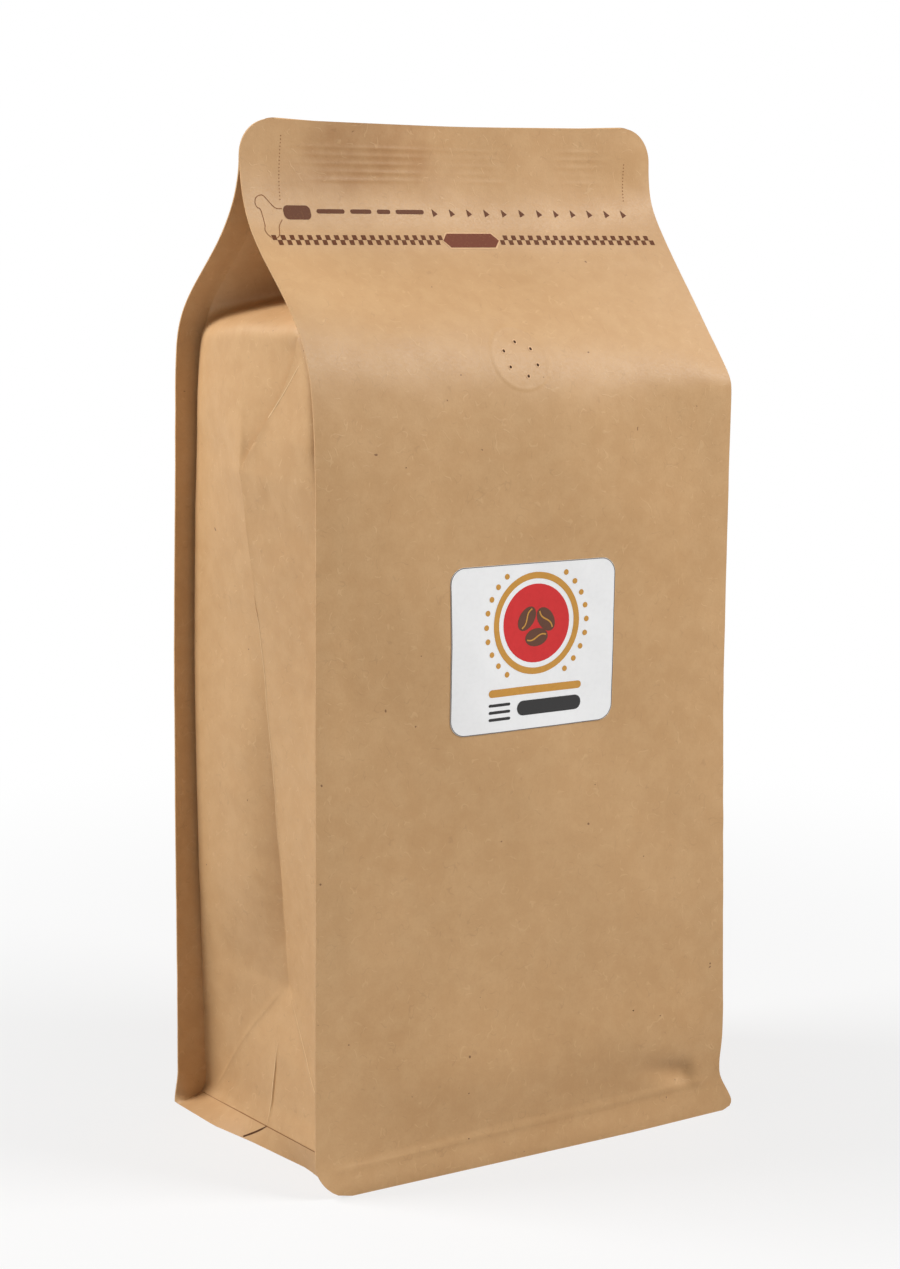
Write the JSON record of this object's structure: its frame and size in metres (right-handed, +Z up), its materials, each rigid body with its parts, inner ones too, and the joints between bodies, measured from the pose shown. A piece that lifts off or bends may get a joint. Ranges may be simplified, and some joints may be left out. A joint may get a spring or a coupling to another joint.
{
  "type": "coffee bag",
  "caption": "Shut flat-bottom kraft paper coffee pouch, standing, with side gussets, a sealed top fin, corner seal strips and a square sticker.",
  "frame": {"origin": "bottom centre of the standing bag, on the surface it stands on", "axes": "+Z up, the front panel with the sticker faces -Y, +X to the right as one looks at the front"},
  "size_m": [0.1583, 0.1009, 0.3225],
  "materials": {
    "kraft_paper": "matt unbleached kraft paper with fine fibres",
    "label_paper": "satin white sticker"
  },
  "bodies": {
    "root": {"bag": "kraft_paper", "label": "label_paper"}
  },
  "joints": []
}
